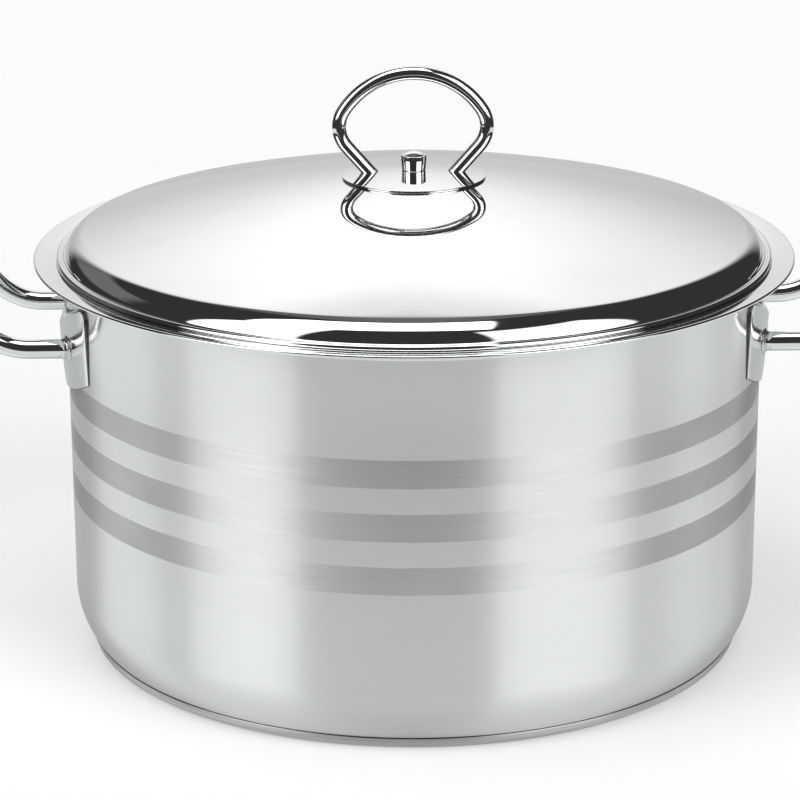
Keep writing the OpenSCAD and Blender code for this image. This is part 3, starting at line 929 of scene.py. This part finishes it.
def crown_line(start, end, depth, steps):
    """Points of the crown, or of a face that lies depth below it."""
    made = []
    for r in np.linspace(start, end, steps + 1):
        slope = crown_slope(r)
        made.append((r - depth * math.sin(slope), crown(r) - depth * math.cos(slope)))
    return made


def make_lid(finish):
    """The lid's sheet: crown, shoulder, small hollow and curled edge, each tangent to the next."""
    lid_low, lid_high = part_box("lid_shell")
    slope = crown_slope(CROWN_R)
    shoulder_x = CROWN_R - SHOULDER_R * math.sin(slope)
    shoulder_z = crown(CROWN_R) - SHOULDER_R * math.cos(slope)
    curl_x = lid_high.x - CURL_R
    curl_z = lid_low.z + CURL_R
    span = math.hypot(curl_x - shoulder_x, curl_z - shoulder_z)
    reach, other = SHOULDER_R + HOLLOW_R, CURL_R + HOLLOW_R
    lean = math.atan2(curl_z - shoulder_z, curl_x - shoulder_x)
    lean += math.acos((reach ** 2 + span ** 2 - other ** 2) / (2 * reach * span))
    hollow_x = shoulder_x + reach * math.cos(lean)
    hollow_z = shoulder_z + reach * math.sin(lean)
    curl = math.atan2(hollow_z - curl_z, hollow_x - curl_x)

    def profile(inset):
        shoulder = arc(shoulder_x, shoulder_z, SHOULDER_R - inset, math.pi / 2 - slope, lean, 30)
        hollow = arc(hollow_x, hollow_z, HOLLOW_R + inset, math.pi + lean, math.pi + curl, 12)
        curled = arc(curl_x, curl_z, CURL_R - inset, curl, CURL_END, 36)
        return crown_line(HOLE_R, CROWN_R, inset, 90) + shoulder + hollow + curled

    mesh = lathe([(profile(0), 0), (profile(LID_SHEET)[::-1], 1)], LID_STEPS)
    build("lid", mesh[0], mesh[1], "lid", [finish["lid"], finish["inside"]], mesh[2], ["lid_shell"])


# -------------------------------------------------------------------- the knob

def make_knob_plate(finish):
    """A round plate that follows the lid's crown."""
    low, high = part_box("knob_plate")
    plate_r = high.x
    lift = low.z - crown(plate_r)
    edge = PLATE_EDGE_R
    under = [(r, crown(r) + lift) for r in np.linspace(HOLE_R, plate_r - edge, 31)]
    over = [(r, crown(r) + lift + PLATE_SHEET) for r in np.linspace(plate_r - edge, HOLE_R, 31)]
    low_z, high_z = under[-1][1] + edge, over[0][1] - edge
    rim = arc(plate_r - edge, low_z, edge, -math.pi / 2, 0, 5)
    rim += arc(plate_r - edge, high_z, edge, 0, math.pi / 2, 5)
    mesh = lathe([(under + rim + over, 0)], PLATE_STEPS)
    build("knob_base_plate", mesh[0], mesh[1], "lid", [finish["plate"]], mesh[2], ["knob_plate"])


def make_cap_nut(finish):
    """A smooth round cap nut that widens upward to a shallow dome."""
    low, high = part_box("knob_cap_nut")
    foot_r = high.x - NUT_FLARE
    bore_top = low.z + NUT_BORE_H
    shoulder_z = high.z - NUT_DOME_H
    edge = NUT_EDGE_R
    dome_r = ((high.x - edge) ** 2 + (NUT_DOME_H - edge) ** 2) / (2 * (NUT_DOME_H - edge))
    dome_start = math.asin((shoulder_z + edge - high.z + dome_r) / dome_r)
    line = [(SCREW_R, low.z), (foot_r - edge, low.z)]
    line += arc(foot_r - edge, low.z + edge, edge, -math.pi / 2, 0, 5)
    line += arc(high.x - edge, shoulder_z, edge, 0, math.pi / 2 - 0.3, 5)
    line += arc(0, high.z - dome_r, dome_r, dome_start, math.pi / 2, 16)
    line += [(0.0, bore_top), (SCREW_R, bore_top)]
    mesh = lathe([(line, 0)], NUT_STEPS)
    build("knob_cap", mesh[0], mesh[1], "lid", [finish["nut"]], mesh[2], ["knob_cap_nut"])


def make_loop(finish):
    """The bent loop: leg, side arc, wide top arc, side arc and leg, standing on the plate."""
    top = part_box("knob_loop")[1].z - LOOP_R
    join = math.degrees(math.acos(LOOP_SIDE_X / (LOOP_ARCH_R - LOOP_SIDE_R)))
    side_z = top - LOOP_ARCH_R + (LOOP_ARCH_R - LOOP_SIDE_R) * math.sin(math.radians(join))
    lean = math.radians(LOOP_LEAN)
    ahead = np.array((math.sin(lean), 0, math.cos(lean)))
    knee = np.array((LOOP_SIDE_X + LOOP_SIDE_R * math.cos(lean), 0, side_z - LOOP_SIDE_R * math.sin(lean)))
    turn = join + LOOP_LEAN
    side = [("run", LOOP_LEG), ("bend", LOOP_SIDE_R, turn), ("run", LOOP_RUN)]
    steps = side + [("bend", LOOP_ARCH_R, 180 - 2 * join)] + side[::-1]
    line = bent_wire(knee - ahead * LOOP_LEG, ahead, (-math.cos(lean), 0, math.sin(lean)), steps)
    build("knob_handle", *tube(line, LOOP_R, sides=40), "lid", [finish["rod"]], None, ["knob_loop"])


# -------------------------------------------------------------------- the rack

def ring_line(radius, z, steps=160):
    return [(radius * math.cos(a), radius * math.sin(a), z)
            for a in np.linspace(0, 2 * math.pi, steps + 1)[:-1]]


def wire_ring(node, share=1.0, steps=160):
    """A ring of wire, at a share of the radius of the outermost ring in a node."""
    low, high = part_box(node)
    r = (high.z - low.z) / 2
    return tube(ring_line((high.x - r) * share, (low.z + high.z) / 2, steps), r, closed=True, sides=24)


def all_round(mesh, count):
    """A mesh repeated round the Z axis."""
    return joined([turned(mesh, 360 * k / count) for k in range(count)])


def make_rack(finish):
    """The rack's fixed wires: rings, floor spokes, uprights and dividers."""
    wire = [finish["wire"]]
    for node in ("rack_top_ring", "rack_low_ring"):
        build(node + "_wire", *wire_ring(node), "rack", wire, None, [node])
    inner_rings = joined([wire_ring("rack_inner_rings", share) for share in (0.5, 1.0)])
    build("rack_inner_ring_wires", *inner_rings, "rack", wire, None, ["rack_inner_rings"])
    build("rack_hub_wire", *wire_ring("rack_hub_ring", steps=96), "rack", wire, None, ["rack_hub_ring"])

    low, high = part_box("rack_floor_wires")
    middle_z = (low.z + high.z) / 2
    line = [(x, 0, middle_z) for x in np.linspace(SPOKE_START, high.x, 12)]
    spoke = tube(line, (high.z - low.z) / 2, sides=20, rounded=True)
    build("rack_floor_spokes", *all_round(spoke, SPOKES), "rack", wire, None, ["rack_floor_wires"])

    low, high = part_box("rack_uprights")
    line = [(high.x - WIRE_R, 0, z) for z in np.linspace(low.z, high.z, 14)]
    upright = tube(line, WIRE_R, sides=24, rounded=True)
    build("rack_upright_wires", *all_round(upright, SPOKES), "rack", wire, None, ["rack_uprights"])

    low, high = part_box("rack_dividers")
    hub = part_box("rack_hub_ring")[1].x + WIRE_R
    top_z = high.z - WIRE_R
    steps = [("run", high.x - hub - DIVIDER_BEND_R), ("bend", DIVIDER_BEND_R, 90),
             ("run", top_z - DIVIDER_BEND_R - low.z)]
    line = bent_wire((high.x, 0, top_z), (-1, 0, 0), (0, 0, -1), steps)
    divider = tube(line, WIRE_R, sides=24, rounded=True)
    build("rack_divider_wires", *all_round(divider, DIVIDERS), "rack", wire, None, ["rack_dividers"])


def make_rack_handle(finish):
    """A folded handle: pin, side, raised lip, side and pin, in one wire."""
    low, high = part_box("rack_right_handle")
    eye_low, eye_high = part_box("rack_right_hinge_eyes")
    hinge = ((eye_low.x + eye_high.x) / 2, (eye_low.z + eye_high.z) / 2)
    length = hinge[0] - low.x - WIRE_R
    pin = high.y - BAIL_HALF - BAIL_BEND_R
    side = length - BAIL_BEND_R - LIP_BEND_R
    rise = high.z - hinge[1] - WIRE_R - LIP_BEND_R - LIP_CORNER_R
    there = [("run", pin), ("bend", BAIL_BEND_R, 90), ("run", side), ("roll", -90),
             ("bend", LIP_BEND_R, 90), ("run", rise), ("roll", -90), ("bend", LIP_CORNER_R, 90)]
    back = [("roll", 90) if step[0] == "roll" else step for step in there[::-1]]
    steps = there + [("run", 2 * (BAIL_HALF - LIP_CORNER_R))] + back
    line = bent_wire((hinge[0], high.y, hinge[1]), (0, -1, 0), (-1, 0, 0), steps)
    handle = tube(line, WIRE_R, sides=24, rounded=True)
    wire = [finish["wire"]]
    build("rack_handle_right", *handle, "right_rack_handle", wire, None, ["rack_right_handle"])
    build("rack_handle_left", *mirrored(handle), "left_rack_handle", wire, None, ["rack_left_handle"])


# ------------------------------------------------------------------- the scene

make_studio()
make_floor()
make_camera()

# Each finish: the material's name, its slot in the record, and how it is painted.
FINISHES = {
    "wall": ("wall_satin", "pot_satin", paint_wall),
    "rim": ("rim_polished", "pot_satin", paint_polished(0.05, 0.09, 0.006 * MM)),
    "inside": ("inside_satin", "pot_satin",
               paint_turned(grey(0.8, -0.01), grey(0.7, -0.01), 0.3, 0.8, 0.01 * MM)),
    "base": ("base_brushed", "base_steel",
             paint_turned(grey(0.64, -0.01), grey(0.5), 0.34, 0.7, BRUSH_DEPTH)),
    # The seam finish is painted shade: near-black metal for the groove where the wall meets the base cap.
    "seam": ("seam_painted_shade", "pot_satin", paint_turned(grey(0.1), grey(0.04), 0.5, 0.0, BRUSH_DEPTH)),
    "core": ("core_rolled", "core_aluminium", paint_turned(grey(0.8), grey(0.7), 0.45, 0.3, BRUSH_DEPTH)),
    "rod": ("rod_polished", "polished_steel", paint_polished(0.04, 0.08, 0.01 * MM)),
    "lid": ("lid_polished", "lid_steel", paint_polished(0.03, 0.05, 0.02 * MM)),
    "plate": ("plate_polished", "polished_steel", paint_polished(0.03, 0.05, 0.02 * MM)),
    "nut": ("nut_polished", "polished_steel", paint_polished(0.05, 0.08, 0.0)),
    "bracket": ("bracket_polished", "polished_steel", paint_bracket),
    # Near-black metal for the brackets' rounded edges.
    "near_black_edge": ("near_black_edge", "polished_steel",
                 paint_turned(grey(0.16), grey(0.08), 0.35, 0.0, BRUSH_DEPTH)),
    "weld": ("weld_bead", "polished_steel",
             paint_turned(grey(0.66, -0.01), grey(0.5), 0.22, 0.0, BRUSH_DEPTH)),
    "fixing": ("fixing_turned", "fixing_steel", paint_turned(grey(0.7), grey(0.55), 0.3, 0.4, BRUSH_DEPTH)),
    "wire": ("wire_plated", "rack_wire", paint_wire),
}
finish = {key: material(*made) for key, made in FINISHES.items()}

# The wall's outer radius is read off the CAD pot, between the shares of its height where it is straight.
wall = widest("pot_shell", 0.1, 0.5)
make_pot(finish, wall)
make_base(finish)
make_handles(finish)
make_brackets(finish, wall)
make_lid(finish)
make_knob_plate(finish)
make_cap_nut(finish)
make_loop(finish)
make_rack(finish)
make_rack_handle(finish)

# Hidden and tiny nodes stay as they are in the CAD, with materials of their own.
KEPT_NODES = {"base_core": "core", "knob_screw": "fixing", "knob_washer": "fixing",
              "rack_left_hinge_eyes": "wire", "rack_right_hinge_eyes": "wire"}
for name, kind in KEPT_NODES.items():
    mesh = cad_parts[name].data
    mesh.materials.clear()
    mesh.materials.append(finish[kind])
